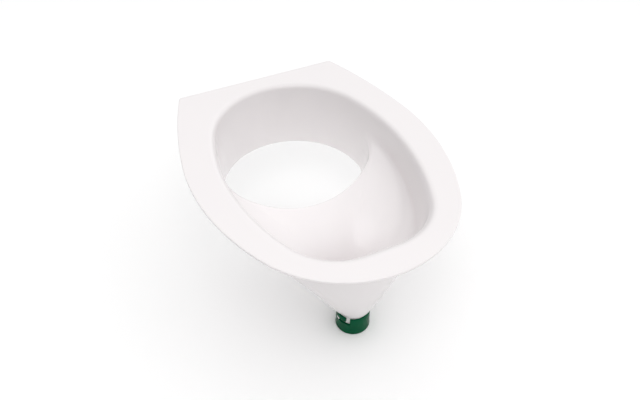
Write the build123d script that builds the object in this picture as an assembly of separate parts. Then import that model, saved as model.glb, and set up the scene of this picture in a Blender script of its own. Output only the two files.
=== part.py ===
from build123d import *
import math
import os

# Urine-diverting toilet insert, in mm. +Z is up and the rounded front points to -Y.
# The origin is the centre of the basin opening, on the plane of the flange's underside.

# Flange: a flat plate with a rounded front, bulging sides and a straight back.
flange_thickness = 3.0
flange_front_y = -204.4
flange_back_y = 190.0
flange_arcs = [(135.4, 62.6), (295.4, 36.8), (650.0, 11.9)]  # radius, angle from the front tip back
flange_corner_radius = 5.0
flange_edge_radius = 0.8

# Opening in the flange: a half outline from the flat front to the round back.
opening_front_y = -166.9
opening_back_y = 167.0
front_corner_radius, front_corner_angle = 75.9, 65.6
opening_side_radius, opening_side_angle = 294.1, 43.7
opening_back_radius = 105.3
opening_roll_radius = 5.5  # the edge that rolls from the flange down into the basin
roll_end_z = flange_thickness - opening_roll_radius
cut_top_z = flange_thickness + 5

# Walls
wall = 3.0
slant_wall = 3.4  # the funnel's wall measured level, so that it is about 3 mm square to its slope
neck_thickening = 2.0  # what the funnel's wall gains down to its neck
draft = 0.04  # how far a wall leans in for each mm of depth

# Funnel bowl: its radii are measured from the outlet's axis.
outlet_y = -109.4
funnel_end_z = -150.0
funnel_end_radius = 17.6
divider_start_angle, divider_full_angle = 22.0, 57.0  # where the side wall turns into the divider, degrees
divider_slope = 85.0
divider_middle_slope = 70.0
divider_rise = 390.0  # how fast the divider flattens towards its lip
divider_limit_radius = 198.0
divider_tuck = 2.0  # how far the funnel's side tucks inside the chute's side where they meet
divider_tuck_share = 0.12

# Rear chute: open at the bottom.
chute_middle_y = 55.3
chute_lip_y = -11.0
chute_bottom_z = -92.5
chute_bottom_middle_y = 65.3
chute_bottom_radius = 95.8
chute_bottom_front_y = -8.0

# Spigot with two bayonet lugs
spigot_radius = 18.8
spigot_bore_radius = 16.3
spigot_end_z = -169.0
bore_start_z = -157.0
bore_taper_top_z = -149.0
shoulder_z = -151.2
shoulder_top_z = -146.0
shoulder_radius = 23.2
lug_width, lug_height = 4.6, 3.6
lug_reach_radius = 21.2
lug_z = -166.0

# Bayonet coupling
coupling_top_z, coupling_bottom_z = -157.6, -185.1
coupling_radius = 21.36
coupling_socket_radius = 19.1
coupling_floor_z, coupling_floor_thickness = -171.6, 2.0
coupling_floor_bore_radius = 13.5
pipe_radius = 16.05
slot_width, slot_height = 5.4, 4.3
slot_turn = 45.0
bead_radius, bead_height = 21.7, 2.4

# Seals
spigot_seal_inner_radius, spigot_seal_outer_radius = 14.0, 18.9
spigot_seal_thickness = 2.4
pipe_seal_inner_radius, pipe_seal_outer_radius = 16.15, 18.3
pipe_seal_top_z, pipe_seal_height = -177.0, 3.4


def blend_min(first, second, width):
    """The smaller of two lengths, rounded where they are nearly equal."""
    near = max(width - abs(first - second), 0.0)
    return min(first, second) - near * near / (4 * width)


def smooth_step(value):
    value = min(max(value, 0.0), 1.0)
    return value * value * (3 - 2 * value)


def arc_chain(front_y, half_flat, arcs):
    """Tangent arcs that start level at the front and turn back along the right side."""
    edges = []
    start = Vector(0, front_y)
    heading = Vector(1, 0)
    if half_flat:
        edges.append(Line(start, start + heading * half_flat))
        start = edges[-1] @ 1
    for radius, angle in arcs:
        edges.append(JernArc(start, heading, radius, angle))
        start = edges[-1] @ 1
        heading = edges[-1] % 1
    return edges


def flange_plate():
    edges = arc_chain(flange_front_y, 0, flange_arcs)
    corner = edges[-1] @ 1
    edges.append(Line(corner, (corner.X - 1.2, flange_back_y)))
    edges.append(Line(edges[-1] @ 1, (0, flange_back_y)))
    half = make_face(edges + [Line((0, flange_back_y), (0, flange_front_y))])
    plan = half + mirror(half, about=Plane.YZ)
    corners = plan.vertices().sort_by(Axis.Y)[-4:]
    corners = [v for v in corners if abs(v.X) > 50]
    plan = fillet(corners, flange_corner_radius)
    plate = extrude(plan, flange_thickness)
    rims = plate.faces().sort_by(Axis.Z)
    return fillet(rims[-1].outer_wire().edges(), flange_edge_radius)


def opening_half():
    """The right half of the opening's outline as one wire, from the front to the back."""
    turned = front_corner_angle + opening_side_angle
    sine_front = math.sin(math.radians(front_corner_angle))
    sine_side = math.sin(math.radians(turned))
    half_flat = (
        opening_back_radius * sine_side
        - front_corner_radius * sine_front
        - opening_side_radius * (sine_side - sine_front)
    )
    arcs = [
        (front_corner_radius, front_corner_angle),
        (opening_side_radius, opening_side_angle),
        (opening_back_radius, 180 - turned),
    ]
    return Wire(arc_chain(opening_front_y, half_flat, arcs))


outline = opening_half()
# The side wall meets the divider's end here, as a share of the half outline.
divider_share = next(
    k / 1000
    for k in range(1000)
    if outline.position_at(k / 1000).Y - outlet_y
    > outline.position_at(k / 1000).X * math.tan(math.radians(divider_full_angle))
    and outline.position_at(k / 1000).Y > outlet_y
)


def wall_inset(z):
    """How far a wall stands in from the opening's outline at a level."""
    return opening_roll_radius + draft * (roll_end_z - z)


def funnel_radius(angle, rim_radius, z):
    """Distance of the funnel's inner wall from the outlet's axis at a level."""
    rise = (z - funnel_end_z) / (roll_end_z - funnel_end_z)
    span = divider_full_angle - divider_start_angle
    share = smooth_step((angle - divider_start_angle) / span)
    behind = smooth_step((angle - divider_full_angle) / (90 - divider_full_angle))
    plain = rim_radius - opening_roll_radius - funnel_end_radius
    back = divider_slope + (divider_middle_slope - divider_slope) * behind
    slope = plain + (back - plain) * share
    floor = funnel_end_radius + slope * rise + divider_rise * share * rise**4
    side = rim_radius - wall_inset(z)
    return blend_min(floor, side, 22 * share) if share else floor


def around_outlet(angle, radius, z):
    turn = math.radians(angle)
    return Vector(radius * math.cos(turn), outlet_y + radius * math.sin(turn), z)


def mirrored(points):
    """Points along the right side, carried on along the left side back to the start."""
    return points + [Vector(-p.X, p.Y, p.Z) for p in reversed(points[:-1])]


def funnel_section(z, grow=0.0, count=25):
    """A level section of the funnel: one spline over the front, one behind the divider."""
    rise = (z - funnel_end_z) / (roll_end_z - funnel_end_z)
    grow += neck_thickening * (1 - rise) ** 3 if grow else 0
    front = []
    for k in range(count):
        along = k / (count - 1)
        rim = outline.position_at(divider_share * along)
        tuck = divider_tuck * smooth_step(1 + (along - 1) / divider_tuck_share)
        angle = math.degrees(math.atan2(rim.Y - outlet_y, rim.X))
        rim_radius = math.hypot(rim.X, rim.Y - outlet_y) - tuck
        front.append(around_outlet(angle, funnel_radius(angle, rim_radius, z) + grow, z))
    front = mirrored(front[::-1])
    behind = []
    for k in range(6):
        angle = divider_full_angle + (90 - divider_full_angle) * k / 5
        radius = funnel_radius(angle, divider_limit_radius, z) + grow
        behind.append(around_outlet(angle, radius, z))
    behind[0] = front[0]
    behind = mirrored(behind)
    behind[-1] = front[-1]
    return Wire([Spline(*front), Spline(*behind)])


def chute_section(z, grow=0.0, count=13):
    """A level section of the chute: the opening's round back and a flatter front."""
    share = max((z - roll_end_z) / (chute_bottom_z - roll_end_z), 0.0) ** 1.5
    inset = min(wall_inset(z), opening_roll_radius)
    side = outline.position_at(divider_share)
    half_width = side.X
    points = []
    for k in range(count):
        rim = outline.position_at(1 - (1 - divider_share) * k / (count - 1))
        points.append(Vector(rim.X, rim.Y))
    depth_front = side.Y - chute_lip_y + opening_roll_radius
    for k in range(1, count):
        turn = math.radians(90 * k / (count - 1))
        points.append(Vector(half_width * math.cos(turn), side.Y - depth_front * math.sin(turn)))
    middle = Vector(0, chute_middle_y)
    bottom_middle = Vector(0, chute_bottom_middle_y)
    bottom_front = chute_bottom_middle_y - chute_bottom_front_y
    made = []
    for point in points:
        out = (point - middle).normalized()
        top = point - out * inset
        reach = Vector(out.X * chute_bottom_radius, out.Y * chute_bottom_radius)
        if out.Y < 0:
            reach = Vector(reach.X, out.Y * bottom_front)
        place = top + (bottom_middle + reach - top) * share + out * grow
        made.append(Vector(place.X, place.Y, z))
    return Wire([Spline(*mirrored(made)[:-1], periodic=True)])


def lofted(section, levels, grow=0.0):
    return Solid.make_loft([section(z, grow) for z in levels])


def rim_roll():
    """What the rolled edge takes off the flange and the wall, all round the opening."""
    radius = opening_roll_radius
    section_plane = Plane((0, opening_front_y, flange_thickness), x_dir=(0, 1, 0), z_dir=(1, 0, 0))
    arc = RadiusArc((radius, -radius), (0, 0), radius)
    rest = Polyline((0, 0), (0, 4), (radius + 4, 4), (radius + 4, -radius), (radius, -radius))
    section = section_plane * make_face([arc, rest])
    half = opening_half()
    path = Wire(half.edges() + mirror(half, about=Plane.YZ).edges())
    return sweep(section, path=path)


def ring(outer_radius, inner_radius, top_z, height):
    place = Pos(0, outlet_y, top_z - height / 2)
    return place * (Cylinder(outer_radius, height) - Cylinder(inner_radius, height + 2))


def bayonet_lugs():
    depth = lug_reach_radius - spigot_bore_radius - 1
    middle = (lug_reach_radius + spigot_bore_radius + 1) / 2
    lug = Box(depth, lug_width, lug_height)
    lug = fillet(lug.edges().filter_by(Axis.X), 0.8)
    return [Pos(side * middle, outlet_y, lug_z) * lug for side in (1, -1)]


def separator_body():
    funnel_levels = [-2, -12, -22, -32, -42, -52, -64, -78, -94, -112, -131]
    funnel = lofted(funnel_section, [cut_top_z] + funnel_levels + [funnel_end_z])
    funnel_skin = lofted(funnel_section, [1] + funnel_levels + [funnel_end_z + 1], slant_wall)
    chute_levels = [-2, -14, -26, -38, -51, -64, -78, chute_bottom_z]
    chute = lofted(chute_section, [cut_top_z] + chute_levels + [chute_bottom_z - 8])
    chute_skin = lofted(chute_section, [1] + chute_levels, wall)

    neck_height = shoulder_top_z - shoulder_z
    neck = Pos(0, outlet_y, shoulder_z + neck_height / 2) * Cylinder(shoulder_radius, neck_height)
    spigot_height = shoulder_z + 1 - spigot_end_z
    spigot = Pos(0, outlet_y, spigot_end_z + spigot_height / 2) * Cylinder(spigot_radius, spigot_height)
    body = flange_plate() + funnel_skin + chute_skin + neck + spigot
    for lug in bayonet_lugs():
        body += lug

    taper_height = bore_taper_top_z - bore_start_z
    taper = Pos(0, outlet_y, bore_start_z + taper_height / 2) * Cone(
        spigot_bore_radius, funnel_end_radius - 0.3, taper_height
    )
    bore_height = bore_start_z - spigot_end_z + 2
    bore = Pos(0, outlet_y, bore_start_z + 0.1 - bore_height / 2) * Cylinder(spigot_bore_radius, bore_height)
    return body - funnel - chute - rim_roll() - taper - bore


def bayonet_slots():
    """Two J-shaped slots: down from the rim, then round to the place where a lug sits locked."""
    slots = []
    floor_z = lug_z - slot_height / 2
    entry_height = coupling_top_z - floor_z + 1
    for half_turn in (0, 180):
        entry = Pos(coupling_radius, 0, floor_z + entry_height / 2) * Box(8, slot_width, entry_height)
        slots.append(Rot(0, 0, half_turn + slot_turn) * entry)
        steps = 6
        for k in range(steps + 1):
            angle = half_turn + slot_turn * k / steps
            piece = Pos(coupling_radius, 0, lug_z) * Box(8, slot_width, slot_height)
            slots.append(Rot(0, 0, angle) * piece)
    return [Pos(0, outlet_y, 0) * slot for slot in slots]


def bayonet_coupling():
    height = coupling_top_z - coupling_bottom_z
    body = Pos(0, outlet_y, coupling_bottom_z + height / 2) * Cylinder(coupling_radius, height)
    body = chamfer(body.edges().group_by(Axis.Z)[-1], 0.5)
    bead = ring(bead_radius, coupling_radius - 1, coupling_bottom_z + bead_height, bead_height)
    body += bead
    socket_height = coupling_top_z - coupling_floor_z
    body -= Pos(0, outlet_y, coupling_floor_z + socket_height / 2 + 1) * Cylinder(
        coupling_socket_radius, socket_height + 2
    )
    body -= Pos(0, outlet_y, coupling_floor_z) * Cylinder(coupling_floor_bore_radius, 12)
    pipe_top_z = coupling_floor_z - coupling_floor_thickness
    pipe_height = pipe_top_z - coupling_bottom_z
    body -= Pos(0, outlet_y, pipe_top_z - pipe_height / 2 - 1) * Cylinder(pipe_radius, pipe_height + 2)
    body -= ring(pipe_seal_outer_radius + 0.05, pipe_radius - 2, pipe_seal_top_z + 0.05, pipe_seal_height + 0.1)
    for slot in bayonet_slots():
        body -= slot
    return body


def spigot_seal():
    return ring(
        spigot_seal_outer_radius, spigot_seal_inner_radius, coupling_floor_z + spigot_seal_thickness,
        spigot_seal_thickness,
    )


def pipe_seal():
    return ring(pipe_seal_outer_radius, pipe_seal_inner_radius, pipe_seal_top_z, pipe_seal_height)


parts = {
    "separator_body": separator_body(),
    "bayonet_coupling": bayonet_coupling(),
    "spigot_seal": spigot_seal(),
    "pipe_seal": pipe_seal(),
}

os.makedirs("parts", exist_ok=True)
for name, shape in parts.items():
    export_step(shape, f"parts/{name}.step")
    print(name, "volume", round(shape.volume / 1000, 2), "cm3", shape.bounding_box())
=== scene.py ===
import math
import bmesh
import bpy
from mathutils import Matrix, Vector


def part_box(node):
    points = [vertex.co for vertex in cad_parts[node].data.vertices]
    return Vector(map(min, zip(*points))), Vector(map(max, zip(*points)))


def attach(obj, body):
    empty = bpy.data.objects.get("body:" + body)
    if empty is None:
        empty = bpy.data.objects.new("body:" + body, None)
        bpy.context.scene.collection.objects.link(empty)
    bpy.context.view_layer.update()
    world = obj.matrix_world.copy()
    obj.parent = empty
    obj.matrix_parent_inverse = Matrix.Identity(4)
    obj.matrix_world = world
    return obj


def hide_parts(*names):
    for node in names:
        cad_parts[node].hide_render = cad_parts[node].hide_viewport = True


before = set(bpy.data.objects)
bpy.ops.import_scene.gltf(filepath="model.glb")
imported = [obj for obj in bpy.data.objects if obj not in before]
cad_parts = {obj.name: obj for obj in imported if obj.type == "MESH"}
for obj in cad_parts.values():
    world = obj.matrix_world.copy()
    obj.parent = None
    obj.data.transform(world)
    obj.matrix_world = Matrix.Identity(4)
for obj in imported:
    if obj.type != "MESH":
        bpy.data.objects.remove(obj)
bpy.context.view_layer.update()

scene = bpy.context.scene
mm = 0.001

# places read from the frame, in millimetres
bodyLow, bodyHigh = (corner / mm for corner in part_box("separator_body"))
couplingLow, couplingHigh = (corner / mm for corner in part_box("bayonet_coupling"))
spigotSealLow, spigotSealHigh = (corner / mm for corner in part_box("spigot_seal"))
pipeSealLow, pipeSealHigh = (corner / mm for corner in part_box("pipe_seal"))
outletY = (couplingLow.y + couplingHigh.y) / 2
floorGap = 0.4
floorZ = couplingLow.z - floorGap


# the camera stands in front of the insert, a little to its left, and looks down on it
camera = {
    "target": Vector((-27.52, -70.99, 3.0)),
    "azimuth": -25.442,
    "elevation": 42.603,
    "distance": 783.87,
    "lens": 39.376,
}


def makeCamera():
    turn = math.radians(camera["azimuth"])
    lift = math.radians(camera["elevation"])
    back = Vector((math.sin(turn) * math.cos(lift), -math.cos(turn) * math.cos(lift), math.sin(lift)))
    lensData = bpy.data.cameras.new("roomCamera")
    lensData.lens = camera["lens"]
    lensData.clip_end = 20
    holder = bpy.data.objects.new("roomCamera", lensData)
    holder.location = (camera["target"] + back * camera["distance"]) * mm
    holder.rotation_euler = (-back).to_track_quat("-Z", "Y").to_euler()
    scene.collection.objects.link(holder)
    scene.camera = holder


makeCamera()
print("camera placed")


def toLinear(hexColour):
    # an sRGB hex colour as linear RGBA
    channels = [int(hexColour[i:i + 2], 16) / 255 for i in (1, 3, 5)]
    return tuple(c / 12.92 if c < 0.04045 else ((c + 0.055) / 1.055) ** 2.4 for c in channels) + (1.0,)


def addNode(tree, kind, settings=None, values=None, links=None):
    node = tree.nodes.new(kind)
    for name, value in (settings or {}).items():
        setattr(node, name, value)
    for name, value in (values or {}).items():
        node.inputs[name].default_value = value
    for name, source in (links or {}).items():
        tree.links.new(source, node.inputs[name])
    return node


def makeMaterial(name):
    material = bpy.data.materials.new(name)
    material.use_nodes = True
    tree = material.node_tree
    tree.nodes.clear()
    shader = addNode(tree, "ShaderNodeBsdfPrincipled")
    addNode(tree, "ShaderNodeOutputMaterial", links={"Surface": shader.outputs["BSDF"]})
    place = addNode(tree, "ShaderNodeTexCoord").outputs["Object"]
    return material, tree, shader, place


def patternScale(sizeInMm):
    # a noise texture repeats about once per 1 / scale metres
    return 1 / (sizeInMm * mm)


def smoothStep(value):
    value = min(max(value, 0.0), 1.0)
    return value * value * (3 - 2 * value)


def between(ends, share):
    # the value at a share of the way from the first of two values to the second
    return ends[0] + (ends[1] - ends[0]) * share


def blendMin(first, second, width):
    # the smaller of two lengths, rounded where they are nearly equal
    near = max(width - abs(first - second), 0.0)
    return min(first, second) - near * near / (4 * width)


def meshObject(name, bm):
    bm.normal_update()
    mesh = bpy.data.meshes.new(name)
    bm.to_mesh(mesh)
    bm.free()
    for polygon in mesh.polygons:
        polygon.use_smooth = True
    piece = bpy.data.objects.new(name, mesh)
    scene.collection.objects.link(piece)
    return piece


def applyModifiers(piece):
    ready = bpy.data.meshes.new_from_object(piece.evaluated_get(bpy.context.evaluated_depsgraph_get()))
    piece.modifiers.clear()
    piece.data = ready


# the white moulding, in millimetres and degrees
moulding = {
    "flangeTop": bodyHigh.z,
    "flangeArcs": [(135.4, 62.6), (295.4, 36.8)],  # radius and angle, from the front tip back
    "flangeLastRadius": 650.0,
    "flangeCorner": 5.0,
    "openingFrontY": -166.9,
    "openingArcs": [(75.9, 65.6), (294.1, 43.7)],
    "openingBackRadius": 105.3,
    "roll": 5.5,  # how far the basin's wall stands in from the opening's outline
    "backRoll": 7.5,  # radius of the edge that rolls down into the basin
    "frontRoll": 12.0,  # the same edge round the front of the bowl
    "wall": 3.0,
    "slantWall": 3.4,
    "draft": 0.04,
    "neckZ": -150.0,
    "neckRadius": 17.6,
    "neckOuterRadius": 23.2,
    "coneBulge": (0.8, 0.68),  # 1 is a straight cone, and less is rounder: at the front and at the sides
    "bulgeAngles": (-60.0, -10.0),
    "dividerAngles": (-60.0, 55.4),  # where the side wall turns into the divider, in degrees
    "dividerSlopes": (85.0, 70.0),
    "fillet": 42.0,  # how softly the divider's floor runs up into the side wall
    "lipY": -11.0,
    "lipMiddleZ": -63.7,
    "lipRise": 23.87,
    "lipPower": 2.5,
    "chuteSideY": 55.3,
    "chuteBottomZ": -92.5,
    "chuteBottomY": 65.3,
    "chuteBottomRadius": 95.8,
    "chuteBottomFrontY": -8.0,
    "spigotBore": 16.3,
    "spigotRadius": 18.8,
    "shoulderZ": -151.2,
    "spigotEndZ": bodyLow.z,
    "lugReach": 21.2,
    "lugZ": -166.0,
    "lugSize": (4.6, 3.6),
    "edgeLean": 0.6,  # a first guess at how far the rolled edge leans out, in radians
    "cornerBlend": 0.25,  # how soon the lip leaves the side wall's direction, in radians
    "edgeOnAngle": -24.0,  # about where the lip is seen edge on from the outlet
    "ridgeLow": -110.0,  # the heights between which the divider's ridge lies
    "ridgeHigh": -20.0,
    "cornerLow": -75.0,  # the same at the lip's ends
    "cornerDrop": 8.0,
}
rollZ = moulding["flangeTop"] - moulding["backRoll"]
outlet = Vector((0, outletY))


def traceArcs(frontY, halfFlat, arcs):
    # tangent arcs from the middle of the front round the right side: start, heading, radius, length
    pieces = []
    at, heading = Vector((0, frontY)), 0.0
    if halfFlat:
        pieces.append((at, heading, 0.0, halfFlat))
        at = at + Vector((halfFlat, 0))
    for radius, angle in arcs:
        turn = math.radians(angle)
        pieces.append((at, heading, radius, radius * turn))
        centre = at + radius * Vector((-math.sin(heading), math.cos(heading)))
        heading += turn
        at = centre - radius * Vector((-math.sin(heading), math.cos(heading)))
    return pieces, at, heading


def pointOn(pieces, distance):
    # the point and the direction towards the middle, at a distance along the pieces
    for at, heading, radius, length in pieces:
        if distance <= length or (at, heading, radius, length) == pieces[-1]:
            break
        distance -= length
    if not radius:
        place = at + distance * Vector((math.cos(heading), math.sin(heading)))
        return place, Vector((-math.sin(heading), math.cos(heading)))
    turned = heading + distance / radius
    centre = at + radius * Vector((-math.sin(heading), math.cos(heading)))
    inward = Vector((-math.sin(turned), math.cos(turned)))
    return centre - radius * inward, inward


def flangeOutline():
    # the last arc stops where a small corner arc brings the outline onto the straight back edge
    arcs = list(moulding["flangeArcs"])
    last, corner = moulding["flangeLastRadius"], moulding["flangeCorner"]
    pieces, at, heading = traceArcs(bodyLow.y, 0, arcs)
    cosine = (at.y + last * math.cos(heading) + corner - bodyHigh.y) / (last - corner)
    arcs.append((last, math.degrees(math.acos(cosine) - heading)))
    arcs.append((corner, 180 - sum(angle for radius, angle in arcs)))
    pieces, at, heading = traceArcs(bodyLow.y, 0, arcs)
    return pieces + [(at, heading, 0.0, at.x)]


def openingOutline():
    first, second = moulding["openingArcs"]
    turned = first[1] + second[1]
    sineFirst, sineBoth = math.sin(math.radians(first[1])), math.sin(math.radians(turned))
    back = moulding["openingBackRadius"]
    halfFlat = back * sineBoth - first[0] * sineFirst - second[0] * (sineBoth - sineFirst)
    arcs = [first, second, (back, 180 - turned)]
    return traceArcs(moulding["openingFrontY"], halfFlat, arcs)[0]


flangePieces = flangeOutline()
openingPieces = openingOutline()
openingLength = sum(piece[3] for piece in openingPieces)


def wallPlan(distance, inset):
    place, inward = pointOn(openingPieces, distance)
    return place + inward * inset


def bisect(low, high, above, steps=30):
    # the value between low and high where above(value) turns true
    for step in range(steps):
        middle = (low + high) / 2
        if above(middle):
            high = middle
        else:
            low = middle
    return (low + high) / 2


cornerDistance = bisect(
    openingLength * 0.4, openingLength * 0.8,
    lambda d: wallPlan(d, moulding["roll"]).y > moulding["chuteSideY"],
)


def bearing(plan):
    # the direction of a place in plan, seen from the outlet, in degrees
    return math.degrees(math.atan2(plan.y - outlet.y, plan.x))


def sideRadius(angle, inset):
    # how far the side wall stands from the outlet in a direction
    distance = bisect(0.0, cornerDistance * 1.15, lambda d: bearing(wallPlan(d, inset)) > angle)
    return (wallPlan(distance, inset) - outlet).length


def chutePlan(angle, z, grow):
    # a place on the chute's wall: angle -90 is the middle of the lip, 0 the side and 90 the back
    depth = max(rollZ - z, 0.0)
    inset = moulding["roll"] + moulding["draft"] * depth - grow
    if angle >= 0:
        top = wallPlan(cornerDistance + (openingLength - cornerDistance) * angle / 90, inset)
    else:
        turn = math.radians(angle)
        corner, inward = pointOn(openingPieces, cornerDistance)
        start = corner + inward * moulding["roll"]
        lipDraft = moulding["draft"] * (rollZ - moulding["lipMiddleZ"])
        reach = start.y - moulding["lipY"] + lipDraft
        spare = grow - moulding["draft"] * depth
        leave = inward.y / inward.x * reach * turn * math.exp(-((turn / moulding["cornerBlend"]) ** 2))
        top = Vector((
            (start.x + spare) * math.cos(turn) + leave,
            start.y + inward.y * -spare * math.cos(turn) + (reach + spare) * math.sin(turn),
        ))
    bottomMiddle = Vector((0, moulding["chuteBottomY"]))
    out = (top - Vector((0, moulding["chuteSideY"]))).normalized()
    front = moulding["chuteBottomY"] - moulding["chuteBottomFrontY"]
    stretch = front if out.y < 0 else moulding["chuteBottomRadius"]
    bottom = bottomMiddle + Vector((out.x * moulding["chuteBottomRadius"], out.y * stretch)) + out * grow
    share = depth / (rollZ - moulding["chuteBottomZ"])
    return top.lerp(bottom, min(share, 1.0) ** 2)


def lipZ(angle):
    width = chutePlan(angle, moulding["lipMiddleZ"], 0).x
    return moulding["lipMiddleZ"] + moulding["lipRise"] * abs(width / 100) ** moulding["lipPower"]


def riseOf(z):
    return (z - moulding["neckZ"]) / (rollZ - moulding["neckZ"])


def dividerRadius(angle, z, bend, grow):
    # the divider's floor on its way up from the neck to the lip
    start, full = moulding["dividerAngles"]
    behind = smoothStep((angle - full) / (90 - full))
    slope = between(moulding["dividerSlopes"], behind)
    rise = riseOf(z)
    thick = 0.0
    if grow:
        neckExtra = moulding["neckOuterRadius"] - moulding["neckRadius"] - moulding["slantWall"]
        thick = moulding["slantWall"] + neckExtra * (1 - rise) ** 3
    return moulding["neckRadius"] + thick + slope * rise + bend * rise ** 4


def dividerBend(angle, chuteAngle):
    # how fast the floor flattens, so that it ends on the lip
    lip = chutePlan(chuteAngle, lipZ(chuteAngle), 0)
    z = lipZ(chuteAngle)
    straight = dividerRadius(angle, z, 0.0, 0)
    return ((lip - outlet).length - straight) / riseOf(z) ** 4


def bowlSide(angle, z, bend, grow):
    # the divider's floor where it runs up into the side wall
    inset = moulding["roll"] + moulding["draft"] * (rollZ - z) - grow
    side = sideRadius(angle, inset)
    return blendMin(dividerRadius(angle, z, bend, grow), side, moulding["fillet"])


def aroundOutlet(angle, radius, z):
    turn = math.radians(angle)
    return Vector((radius * math.cos(turn), outlet.y + radius * math.sin(turn), z))


rows = {"neck": 16, "lip": 7, "wall": 4, "roll": 6, "chute": 12}
columns = {"front": 44, "divider": 24, "side": 14, "corner": 5, "back": 13}
stepEase = {"neck": 0.6, "divider": 0.5, "chute": 0.6}


def easedShares(count, ease):
    # shares from 0 to 1, with even steps for ease 0 and shorter ones at both ends for ease 1
    return [between((k / count, smoothStep(k / count)), ease) for k in range(count + 1)]


def rollRadius(share):
    # the rolled edge is softer round the front of the bowl, and reaches its back radius at 3/4 of the way
    return between((moulding["frontRoll"], moulding["backRoll"]), smoothStep(share / 0.75))


def coneShare(angle, share):
    # how far out the front of the bowl is, from the neck (0) to the rim (1)
    start, end = moulding["bulgeAngles"]
    power = between(moulding["coneBulge"], smoothStep((angle - start) / (end - start)))
    ease = 0.02
    return ((share + ease) ** power - ease ** power) / ((1 + ease) ** power - ease ** power)


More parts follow.
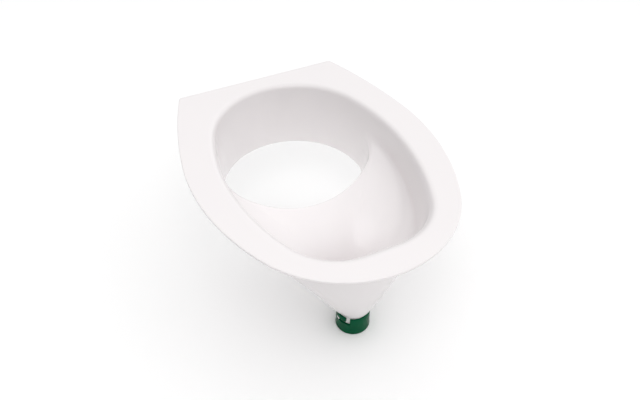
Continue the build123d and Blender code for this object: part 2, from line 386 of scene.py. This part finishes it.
def skin(grow):
    # the inner surface (grow 0) or the outer one, as grids of points over the right half
    roll = moulding["roll"] - grow
    # the chute's angle where its wall is seen edge on from the outlet
    samples = [-k * 0.5 for k in range(10, 90)]
    edgeZ = lipZ(moulding["edgeOnAngle"])
    tangent = min(samples, key=lambda a: bearing(chutePlan(a, edgeZ, grow)))
    tangentBearing = bearing(chutePlan(tangent, edgeZ, grow))
    cornerBend = dividerBend(tangentBearing, tangent)

    def ridgeZ(chuteAngle, bend, low, high):
        # where the bowl's surface meets the chute's wall
        def meets(z):
            plan = chutePlan(chuteAngle, z, grow)
            angle = bearing(plan)
            if chuteAngle < tangent:
                return dividerRadius(angle, z, bend, grow) > (plan - outlet).length
            return bowlSide(angle, z, bend, grow) > (plan - outlet).length - 0.02
        return bisect(low, high, meets)

    lip = []
    for share in easedShares(columns["divider"], stepEase["divider"]):
        chuteAngle = between((tangent, -90), share)
        angle = bearing(chutePlan(chuteAngle, lipZ(chuteAngle), grow))
        bend = dividerBend(angle, chuteAngle)
        z = ridgeZ(chuteAngle, bend, moulding["ridgeLow"], moulding["ridgeHigh"])
        angle = bearing(chutePlan(chuteAngle, z, grow))
        lip.append((chuteAngle, angle, bend, z))
    # the shared edge, from the tangent point up the side wall to the roll
    edge = []
    for k in range(rows["lip"] + 1):
        chuteAngle = tangent * (1 - k / rows["lip"])
        z = ridgeZ(chuteAngle, cornerBend, moulding["cornerLow"], rollZ - moulding["cornerDrop"])
        edge.append((chuteAngle, z))
    for k in range(1, rows["wall"] + 1):
        edge.append((0.0, edge[rows["lip"]][1] + (rollZ - edge[rows["lip"]][1]) * k / rows["wall"]))
    edge[0] = (tangent, lip[0][3])
    neckZ, cornerZ = moulding["neckZ"], edge[0][1]
    levels = [between((neckZ, cornerZ), s) for s in easedShares(rows["neck"], stepEase["neck"])]
    chuteAngles = [edge[0][0]] * rows["neck"] + [a for a, z in edge]
    levels = levels[:-1] + [z for a, z in edge]
    edgePlans = [chutePlan(a, z, grow) for a, z in zip(chuteAngles, levels)]
    edgeBearings = [bearing(plan) for plan in edgePlans]
    edgeBearings[:rows["neck"]] = [edgeBearings[rows["neck"]]] * rows["neck"]

    grids = []

    # front of the bowl, from the neck up to the flange
    startAngle, fullAngle = moulding["dividerAngles"]
    nearTop = 0.02  # the share of the height over which the cone's lean at its top is taken
    front = []
    for k in range(columns["front"] + 1):
        distance = cornerDistance * k / columns["front"]
        rimPlace, inward = pointOn(openingPieces, distance)
        rimBearing = bearing(rimPlace + inward * roll)
        share = smoothStep((rimBearing - startAngle) / (fullAngle - startAngle))
        neck = moulding["neckOuterRadius"] if grow else moulding["neckRadius"]
        edgeRadius = rollRadius(k / columns["front"])
        centre = moulding["flangeTop"] - edgeRadius
        rimPlace = rimPlace + inward * (moulding["roll"] - edgeRadius)
        bend = edgeRadius - grow
        lean = moulding["edgeLean"]
        for step in range(8):
            endRadius = (rimPlace + inward * bend * math.cos(lean) - outlet).length
            topZ = centre + bend * math.sin(lean)
            steepness = 1 - coneShare(rimBearing, 1 - nearTop)
            lean = math.atan2((endRadius - neck) * steepness / nearTop, topZ - neckZ)
        pull = (k / columns["front"]) ** 6
        column = []
        for i, z in enumerate(levels):
            angle = rimBearing + (edgeBearings[i] - edgeBearings[-1]) * pull
            rowShare = riseOf(z)
            radius = between((neck, endRadius), coneShare(angle, rowShare))
            straight = aroundOutlet(angle, radius, between((neckZ, topZ), rowShare))
            if share:
                shelf = aroundOutlet(angle, bowlSide(angle, z, cornerBend, grow), z)
                straight = straight.lerp(shelf, share)
            if k == columns["front"] and i >= rows["neck"]:
                straight = Vector((*edgePlans[i], z))
            column.append(straight)
        for i in range(rows["roll"] + 1):
            beta = (math.pi / 2 - lean * (1 - share)) * (1 - i / rows["roll"])
            place = rimPlace + inward * bend * math.sin(beta)
            rolled = Vector((*place, centre + bend * math.cos(beta)))
            if i:
                column.append(rolled)
            else:
                column[-1] = rolled
        front.append(column)
    grids.append(front)

    # back of the bowl, from the neck up to the lip
    behind = []
    for chuteAngle, angle, bend, z in lip:
        column = []
        for i in range(rows["neck"] + 1):
            level = between((neckZ, z), (levels[i] - neckZ) / (cornerZ - neckZ))
            column.append(aroundOutlet(angle, dividerRadius(angle, level, bend, grow), level))
        column[-1] = Vector((*chutePlan(chuteAngle, z, grow), z))
        behind.append(column)
    behind[0] = front[-1][:rows["neck"] + 1]
    grids.append(behind)

    # the chute's wall under the lip
    underLip = []
    for chuteAngle, angle, bend, z in lip:
        column = []
        for s in easedShares(rows["chute"], stepEase["chute"]):
            level = between((z, moulding["chuteBottomZ"]), s)
            column.append(Vector((*chutePlan(chuteAngle, level, grow), level)))
        underLip.append(column[::-1])
    grids.append(underLip)

    # the rest of the chute, from its bottom up to the flange
    total = columns["side"] + columns["corner"] + columns["back"]
    rear = []
    for j in range(total + 1):
        share = j / total
        pull = (1 - share) ** 6
        column = []
        for s in easedShares(rows["chute"], stepEase["chute"])[::-1]:
            level = between((cornerZ, moulding["chuteBottomZ"]), s)
            column.append(Vector((*chutePlan(90 * share + edge[0][0] * pull, level, grow), level)))
        for chuteAngle, level in edge[1:-1]:
            column.append(Vector((*chutePlan(90 * share + chuteAngle * pull, level, grow), level)))
        distance = cornerDistance + (openingLength - cornerDistance) * share
        rimPlace, inward = pointOn(openingPieces, distance)
        edgeRadius = moulding["backRoll"]
        rimPlace = rimPlace + inward * (moulding["roll"] - edgeRadius)
        bend = edgeRadius - grow
        for i in range(rows["roll"] + 1):
            beta = math.pi / 2 * (1 - i / rows["roll"])
            place = rimPlace + inward * bend * math.sin(beta)
            column.append(Vector((*place, moulding["flangeTop"] - edgeRadius + bend * math.cos(beta))))
        rear.append(column)
    rear[0][:rows["chute"] + 1] = underLip[0]
    for i in range(1, len(edge)):
        rear[0][rows["chute"] + i] = front[-1][rows["neck"] + i]
    grids.append(rear[::-1])
    rims = [column[-1] for column in front] + [column[-1] for column in rear[1:]]
    necks = [column[0] for column in front] + [column[0] for column in behind[1:]]
    bottoms = [column[0] for column in rear[::-1]] + [column[0] for column in underLip[1:]]
    return grids, rims, necks, bottoms


def flangeStations():
    # how far along the flange's outline each column of the opening ends
    lengths = [piece[3] for piece in flangePieces]
    cornerStart, cornerEnd = sum(lengths[:3]), sum(lengths[:4])
    side = bisect(0, cornerStart, lambda d: pointOn(flangePieces, d)[0].y > moulding["chuteSideY"] + 4)
    ends = [0, side, cornerStart, cornerEnd, sum(lengths)]
    stops = []
    for start, end, stretch in zip(ends, ends[1:], ("front", "side", "corner", "back")):
        stops += [between((start, end), k / columns[stretch]) for k in range(columns[stretch])]
    return stops + [ends[-1]]


def addGrid(bm, grid, mirrored):
    # quads between neighbouring columns, and the same on the left half
    flip = Vector((-1, 1, 1)) if mirrored else Vector((1, 1, 1))
    made = [[bm.verts.new(point * flip * mm) for point in column] for column in grid]
    for left, right in zip(made, made[1:]):
        for i in range(len(left) - 1):
            corners = [left[i], right[i], right[i + 1], left[i + 1]]
            bm.faces.new(corners[::-1] if mirrored else corners)


# how the lip is rounded off: turns of smoothing and reach in millimetres, in the middle and at its ends
lipSoftness = {
    "middleTurns": 3,
    "endTurns": 24,
    "endsFrom": 80.0,
    "endsOver": 24.0,
    "halfWidth": 103.5,
    "reach": (5.0, 10.0),
    "height": (6.0, 26.0),
    "lowest": 8.0,
    "highestZ": -14.0,
    "pastCorner": 4.0,  # degrees
}


def softenLip(piece):
    # the divider's lip is rounded, and it fades into the side walls at both ends
    bm = bmesh.new()
    bm.from_mesh(piece.data)
    near = []
    for vertex in bm.verts:
        x, y, z = vertex.co / mm
        if z > lipSoftness["highestZ"] or z < moulding["lipMiddleZ"] - lipSoftness["lowest"]:
            continue
        depthShare = (y - moulding["chuteSideY"]) / (moulding["chuteSideY"] - moulding["lipY"])
        angle = math.degrees(math.atan2(depthShare, abs(x) / lipSoftness["halfWidth"]))
        if angle >= lipSoftness["pastCorner"]:
            continue
        away = (chutePlan(angle, z, 0) - Vector((abs(x), y))).length
        above = z - lipZ(angle)
        ends = smoothStep((abs(x) - lipSoftness["endsFrom"]) / lipSoftness["endsOver"])
        if away < between(lipSoftness["reach"], ends) and abs(above) < between(lipSoftness["height"], ends):
            near.append((vertex, ends))
    for turn in range(lipSoftness["endTurns"]):
        turns = (lipSoftness["middleTurns"], lipSoftness["endTurns"])
        chosen = [vertex for vertex, ends in near if turn < between(turns, ends)]
        bmesh.ops.smooth_vert(bm, verts=chosen, factor=0.5, use_axis_x=True, use_axis_y=True, use_axis_z=True)
    bm.to_mesh(piece.data)
    bm.free()


def makeMoulding():
    inner, innerRims, innerNecks, innerBottoms = skin(0.0)
    outer, outerRims, outerNecks, outerBottoms = skin(moulding["wall"])
    halves = inner + [[column[::-1] for column in grid] for grid in outer]

    # flange: out over the top, round the edge and back along the underside
    top = moulding["flangeTop"]
    edgeSteps = [(0.8, top), (0.23, top - 0.23), (0.0, top - 0.8), (0.0, 0.6), (0.18, 0.18), (0.6, 0.0)]
    flange = []
    for station, rim, under in zip(flangeStations(), innerRims, outerRims):
        place, inward = pointOn(flangePieces, station)
        outlinePoint = Vector((*place, 0))
        column = [rim]
        for share in (0.03, 0.25, 0.6, 0.93):
            column.append(rim.lerp(outlinePoint + Vector((0, 0, top)), share))
        for inset, z in edgeSteps:
            column.append(Vector((*(place + inward * inset), z)))
        for share in (0.93, 0.6, 0.25, 0.04):
            column.append(under.lerp(outlinePoint, share))
        column.append(under)
        flange.append(column)
    halves.append(flange)

    # the chute's bottom edge
    bottomEdge = []
    for inside, outside in zip(innerBottoms, outerBottoms):
        bottomEdge.append([outside, outside.lerp(inside, 0.15), outside.lerp(inside, 0.85), inside])
    halves.append(bottomEdge)

    # the bore, the spigot's end and its outside, up to the shoulder under the cone
    bore, radius = moulding["spigotBore"], moulding["spigotRadius"]
    end, shoulder = moulding["spigotEndZ"], moulding["shoulderZ"]
    profile = [(17.0, -153.0), (bore, -157.0), (bore, -163.0), (bore, end + 0.6), (bore + 0.5, end)]
    profile += [(radius - 0.5, end), (radius, end + 0.5), (radius, end + 8), (radius, shoulder - 0.7)]
    profile += [(radius + 0.3, shoulder), (22.4, shoulder), (23.0, shoulder + 0.3)]
    spigot = []
    for inside, outside in zip(innerNecks, outerNecks):
        angle = bearing(Vector((inside.x, inside.y)))
        outerAngle = bearing(Vector((outside.x, outside.y)))
        column = [inside]
        for k, (r, z) in enumerate(profile):
            column.append(aroundOutlet(angle + (outerAngle - angle) * (k + 1) / (len(profile) + 1), r, z))
        spigot.append((column + [outside])[::-1])
    halves.append(spigot)

    bm = bmesh.new()
    for grid in halves:
        for mirrored in (False, True):
            addGrid(bm, grid, mirrored)
    for vertex in bm.verts:
        if abs(vertex.co.x) < 1e-6:
            vertex.co.x = 0.0
    bmesh.ops.remove_doubles(bm, verts=bm.verts, dist=2e-6)
    bmesh.ops.recalc_face_normals(bm, faces=bm.faces)
    openEdges = [edge for edge in bm.edges if not edge.is_manifold]
    print("moulding:", len(bm.faces), "faces,", len(openEdges), "open edges")
    piece = meshObject("separatorShell", bm)
    piece.modifiers.new("soften", "SUBSURF").levels = 1
    applyModifiers(piece)
    softenLip(piece)
    return piece


shell = makeMoulding()
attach(shell, "insert")
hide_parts("separator_body")
print("white moulding made")


def makeLugs():
    # two lugs that the coupling's slots turn onto
    lugs = []
    width, height = moulding["lugSize"]
    inside = moulding["spigotBore"] + 1.0
    for side, name in ((1, "lugRight"), (-1, "lugLeft")):
        bm = bmesh.new()
        bmesh.ops.create_cube(bm, size=1.0)
        depth = moulding["lugReach"] - inside
        bmesh.ops.scale(bm, vec=Vector((depth, width, height)) * mm, verts=bm.verts)
        bmesh.ops.bevel(bm, geom=bm.edges, offset=0.6 * mm, segments=4, profile=0.5, affect="EDGES")
        shift = Vector((side * (moulding["lugReach"] + inside) / 2, outletY, moulding["lugZ"])) * mm
        bmesh.ops.translate(bm, vec=shift, verts=bm.verts)
        lug = meshObject(name, bm)
        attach(lug, "insert")
        lugs.append(lug)
    return lugs


lugs = makeLugs()


# the green coupling
coupling = {
    "radius": 21.36,
    "socket": 19.1,
    "floorZ": spigotSealLow.z,
    "floorThickness": 2.0,
    "floorBore": 13.5,
    "pipe": 16.05,
    "bead": (couplingHigh.x, 2.4),
    "slotWidth": 5.4,
    "slotHeight": 4.3,
    "slotTurn": 45.0,
    "slotCorner": 0.9,
    "sides": 160,
}


def lathe(bm, profile, sides):
    # a closed ring turned about the outlet's axis from (radius, z) points
    rings = []
    for k in range(sides):
        angle = 360 * k / sides
        rings.append([bm.verts.new(aroundOutlet(angle, r, z) * mm) for r, z in profile])
    for k in range(sides):
        here, after = rings[k], rings[(k + 1) % sides]
        for i in range(len(profile)):
            following = (i + 1) % len(profile)
            bm.faces.new([here[i], after[i], after[following], here[following]])
    bmesh.ops.recalc_face_normals(bm, faces=bm.faces)


def slotCutter(startAngle):
    # a J: down from the rim and round to where the lug sits, with rounded corners
    low = moulding["lugZ"] - coupling["slotHeight"] / 2
    high = low + coupling["slotHeight"]
    half = math.degrees(coupling["slotWidth"] / 2 / coupling["radius"])
    corner = coupling["slotCorner"]
    cornerAngle = math.degrees(corner / coupling["radius"])
    entry = startAngle + coupling["slotTurn"]
    top = couplingHigh.z + 2

    def rounded(angle, z, angleSign, zSign, firstTurn):
        points = []
        for k in range(5):
            turn = firstTurn + math.pi / 2 * k / 4
            points.append((
                angle - angleSign * cornerAngle + math.cos(turn) * cornerAngle,
                z - zSign * corner + math.sin(turn) * corner,
            ))
        return points

    outline = [(entry - half, top)]
    outline += [(entry - half, z) for z in (high + 6, high + 3)]
    outline += [(a, z) for a, z in rounded(entry - half, high, 1, -1, -math.pi / 2)][::-1]
    outline += [(startAngle + half + (entry - startAngle - 2 * half) * k / 4, high) for k in (3, 2, 1)]
    outline += rounded(startAngle - half, high, -1, 1, math.pi / 2)
    outline += rounded(startAngle - half, low, -1, -1, math.pi)
    outline += [(startAngle + (entry - startAngle) * k / 8, low) for k in range(1, 8)]
    outline += rounded(entry + half, low, 1, -1, -math.pi / 2)
    outline += [(entry + half, z) for z in (low + 3, high + 3, top)]
    bm = bmesh.new()
    inner = [bm.verts.new(aroundOutlet(a, coupling["socket"] - 2, z) * mm) for a, z in outline]
    outside = [bm.verts.new(aroundOutlet(a, coupling["radius"] + 3, z) * mm) for a, z in outline]
    bm.faces.new(inner)
    bm.faces.new(outside[::-1])
    for k in range(len(outline)):
        after = (k + 1) % len(outline)
        bm.faces.new([inner[k], outside[k], outside[after], inner[after]])
    bmesh.ops.recalc_face_normals(bm, faces=bm.faces)
    return meshObject("slotCutter", bm)


def makeCoupling():
    top, bottom = couplingHigh.z, couplingLow.z
    radius, socket = coupling["radius"], coupling["socket"]
    floorTop, floorLow = coupling["floorZ"], coupling["floorZ"] - coupling["floorThickness"]
    beadRadius, beadHeight = coupling["bead"]
    sealTop, sealLow, sealRadius = pipeSealHigh.z + 0.05, pipeSealLow.z - 0.05, pipeSealHigh.x + 0.05
    profile = [
        (socket, top - 0.3), (socket + 0.3, top), (radius - 0.5, top), (radius - 0.1, top - 0.2),
        (radius, top - 0.6), (radius, top - 12.0), (radius, bottom + beadHeight + 0.7),
        (radius + 0.08, bottom + beadHeight + 0.3), (beadRadius - 0.05, bottom + beadHeight),
        (beadRadius, bottom + beadHeight - 0.4), (beadRadius, bottom + 0.6),
        (beadRadius - 0.15, bottom + 0.2),
        (beadRadius - 0.6, bottom), (coupling["pipe"] + 1.2, bottom), (coupling["pipe"] + 0.3, bottom + 0.3),
        (coupling["pipe"], bottom + 1.2), (coupling["pipe"], sealLow), (sealRadius, sealLow),
        (sealRadius, sealTop), (coupling["pipe"], sealTop), (coupling["pipe"], floorLow),
        (coupling["floorBore"] + 0.3, floorLow), (coupling["floorBore"], floorLow + 0.3),
        (coupling["floorBore"], floorTop - 0.3), (coupling["floorBore"] + 0.3, floorTop), (socket, floorTop),
    ]
    bm = bmesh.new()
    lathe(bm, profile, coupling["sides"])
    piece = meshObject("drainCoupling", bm)
    # one slot for each lug: the left one comes out cut, and the boolean leaves the right one closed
    cutters = [slotCutter(start) for start in (0.0, 180.0)]
    for cutter in cutters:
        cut = piece.modifiers.new("slot", "BOOLEAN")
        cut.operation = "DIFFERENCE"
        cut.solver = "EXACT"
        cut.object = cutter
    soften = piece.modifiers.new("moulded edges", "BEVEL")
    soften.width = 0.3 * mm
    soften.segments = 3
    soften.limit_method = "ANGLE"
    soften.angle_limit = math.radians(50)
    soften.harden_normals = True
    bpy.context.view_layer.update()
    applyModifiers(piece)
    for cutter in cutters:
        bpy.data.objects.remove(cutter)
    return piece


drainCoupling = makeCoupling()
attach(drainCoupling, "coupling")
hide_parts("bayonet_coupling")
print("coupling made")


# the seals
seals = {
    "spigot": {"inner": 14.0, "round": 0.7},
    "pipe": {"inner": 16.15, "round": 0.9},
}


def makeSeal(name, low, high, sizes):
    # a moulded ring with rounded edges, and a shallow groove round its pressing face
    outer, inner, edgeRound = high.x, sizes["inner"], sizes["round"]
    profile = []
    corners = [
        (outer, high.z, 1, 1), (outer, low.z, 1, -1), (inner, low.z, -1, -1), (inner, high.z, -1, 1),
    ]
    for k, (r, z, rSign, zSign) in enumerate(corners):
        for step in range(5):
            turn = math.pi / 2 * step / 4
            first, second = math.sin(turn), math.cos(turn)
            if k % 2:
                first, second = second, first
            profile.append((r - rSign * edgeRound * (1 - first), z - zSign * edgeRound * (1 - second)))
    middle = (outer + inner) / 2
    profile += [(middle - 0.6, high.z), (middle - 0.2, high.z - 0.25), (middle + 0.2, high.z - 0.25),
                (middle + 0.6, high.z)]
    bm = bmesh.new()
    lathe(bm, profile, coupling["sides"])
    piece = meshObject(name, bm)
    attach(piece, "coupling")
    return piece


spigotSeal = makeSeal("spigotSealRing", spigotSealLow, spigotSealHigh, seals["spigot"])
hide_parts("spigot_seal")
pipeSeal = makeSeal("pipeSealRing", pipeSealLow, pipeSealHigh, seals["pipe"])
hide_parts("pipe_seal")
print("seals made")



def mouldedWhitePolypropylene():
    # injection-moulded polypropylene: a smooth, slightly waxy gloss with a faint orange peel
    material, tree, shader, place = makeMaterial("moulded white polypropylene")
    cloud = addNode(tree, "ShaderNodeTexNoise", values={"Scale": patternScale(60), "Detail": 3.0},
                    links={"Vector": place})
    tint = addNode(tree, "ShaderNodeMix", settings={"data_type": "RGBA"},
                   links={"Factor": cloud.outputs["Fac"]})
    tint.inputs["A"].default_value = toLinear("#F0ECEC")
    tint.inputs["B"].default_value = toLinear("#EEEAEB")
    tree.links.new(tint.outputs["Result"], shader.inputs["Base Color"])
    rub = addNode(tree, "ShaderNodeTexNoise", values={"Scale": patternScale(14), "Detail": 4.0},
                  links={"Vector": place})
    gloss = addNode(tree, "ShaderNodeMapRange", values={"To Min": 0.17, "To Max": 0.27},
                    links={"Value": rub.outputs["Fac"]})
    tree.links.new(gloss.outputs["Result"], shader.inputs["Roughness"])
    peel = addNode(tree, "ShaderNodeTexNoise", values={"Scale": patternScale(3.5), "Detail": 1.0},
                   links={"Vector": place})
    relief = addNode(tree, "ShaderNodeBump", values={"Strength": 0.25, "Distance": 0.00004},
                     links={"Height": peel.outputs["Fac"]})
    tree.links.new(relief.outputs["Normal"], shader.inputs["Normal"])
    shader.inputs["IOR"].default_value = 1.49
    return material


def mouldedGreenAbs():
    # injection-moulded ABS with a polished tool: a deep green with sharp small highlights
    material, tree, shader, place = makeMaterial("moulded green ABS")
    flow = addNode(tree, "ShaderNodeTexNoise", values={"Scale": patternScale(9), "Detail": 3.0},
                   links={"Vector": place})
    tint = addNode(tree, "ShaderNodeMix", settings={"data_type": "RGBA"},
                   links={"Factor": flow.outputs["Fac"]})
    tint.inputs["A"].default_value = toLinear("#004A2E")
    tint.inputs["B"].default_value = toLinear("#005A3A")
    tree.links.new(tint.outputs["Result"], shader.inputs["Base Color"])
    rub = addNode(tree, "ShaderNodeTexNoise", values={"Scale": patternScale(2.5), "Detail": 5.0},
                  links={"Vector": place})
    gloss = addNode(tree, "ShaderNodeMapRange", values={"To Min": 0.16, "To Max": 0.30},
                    links={"Value": rub.outputs["Fac"]})
    tree.links.new(gloss.outputs["Result"], shader.inputs["Roughness"])
    relief = addNode(tree, "ShaderNodeBump", values={"Strength": 0.2, "Distance": 0.00003},
                     links={"Height": rub.outputs["Fac"]})
    tree.links.new(relief.outputs["Normal"], shader.inputs["Normal"])
    shader.inputs["IOR"].default_value = 1.54
    shader.inputs["Specular IOR Level"].default_value = 0.06
    return material


def mouldedBlackRubber():
    # compression-moulded EPDM: dull black, with the fine grain of the tool
    material, tree, shader, place = makeMaterial("moulded black EPDM rubber")
    bloom = addNode(tree, "ShaderNodeTexNoise", values={"Scale": patternScale(5), "Detail": 4.0},
                    links={"Vector": place})
    tint = addNode(tree, "ShaderNodeMix", settings={"data_type": "RGBA"},
                   links={"Factor": bloom.outputs["Fac"]})
    tint.inputs["A"].default_value = toLinear("#1B1B1C")
    tint.inputs["B"].default_value = toLinear("#272728")
    tree.links.new(tint.outputs["Result"], shader.inputs["Base Color"])
    grain = addNode(tree, "ShaderNodeTexNoise", values={"Scale": patternScale(0.6), "Detail": 2.0},
                    links={"Vector": place})
    relief = addNode(tree, "ShaderNodeBump", values={"Strength": 0.4, "Distance": 0.00005},
                     links={"Height": grain.outputs["Fac"]})
    tree.links.new(relief.outputs["Normal"], shader.inputs["Normal"])
    shader.inputs["Roughness"].default_value = 0.6
    shader.inputs["IOR"].default_value = 1.52
    return material


whitePlastic = mouldedWhitePolypropylene()
greenPlastic = mouldedGreenAbs()
blackRubber = mouldedBlackRubber()
for piece in [shell] + lugs:
    piece.data.materials.clear()
    piece.data.materials.append(whitePlastic)
drainCoupling.data.materials.clear()
drainCoupling.data.materials.append(greenPlastic)
for piece in (spigotSeal, pipeSeal):
    piece.data.materials.append(blackRubber)
print("materials made")


# floor and light
studio = {
    "floorColour": "#FFFFFF",
    "floorHalf": 6000,
    "ceiling": (0.22, 0.0, 0.975),  # the direction of its brightest part
    "skyFade": (0.15, 0.65),  # cosines from that direction, where it starts and stops fading
    "sky": (0.12, 1.16),  # at the horizon and overhead
    "keyPlace": (-500, -900, 1500),
    "keySize": 1300,
    "keyPower": 5.0,
}


def makeFloor():
    # a sheet of matt white paper, bright enough to show only the soft shadow
    bm = bmesh.new()
    bmesh.ops.create_grid(bm, x_segments=2, y_segments=2, size=studio["floorHalf"] * mm)
    bmesh.ops.translate(bm, vec=(0, 0, floorZ * mm), verts=bm.verts)
    floor = meshObject("studioFloor", bm)
    material, tree, shader, place = makeMaterial("matt white paper")
    shader.inputs["Base Color"].default_value = toLinear(studio["floorColour"])
    shader.inputs["Roughness"].default_value = 0.9
    floor.data.materials.append(material)


def makeLights():
    world = bpy.data.worlds.new("softRoom")
    world.use_nodes = True
    tree = world.node_tree
    tree.nodes["Background"].inputs["Color"].default_value = (1, 1, 1, 1)
    # the ceiling is bright, and it falls off towards dimmer walls
    direction = addNode(tree, "ShaderNodeTexCoord").outputs["Generated"]
    facing = addNode(tree, "ShaderNodeVectorMath", settings={"operation": "DOT_PRODUCT"})
    tree.links.new(direction, facing.inputs[0])
    facing.inputs[1].default_value = studio["ceiling"]
    low, high = studio["sky"]
    fadeLow, fadeHigh = studio["skyFade"]
    fade = addNode(tree, "ShaderNodeMapRange", settings={"interpolation_type": "SMOOTHSTEP"},
                   values={"From Min": fadeLow, "From Max": fadeHigh, "To Min": low, "To Max": high},
                   links={"Value": facing.outputs["Value"]})
    tree.links.new(fade.outputs["Result"], tree.nodes["Background"].inputs["Strength"])
    scene.world = world
    key = bpy.data.lights.new("keyLight", "AREA")
    key.shape = "DISK"
    key.size = studio["keySize"] * mm
    key.energy = studio["keyPower"]
    holder = bpy.data.objects.new("keyLight", key)
    holder.location = Vector(studio["keyPlace"]) * mm
    aim = Vector((0, 0, 0)) - holder.location
    holder.rotation_euler = aim.to_track_quat("-Z", "Y").to_euler()
    scene.collection.objects.link(holder)
    scene.view_settings.view_transform = "Standard"


makeFloor()
makeLights()
print("floor and lights placed")
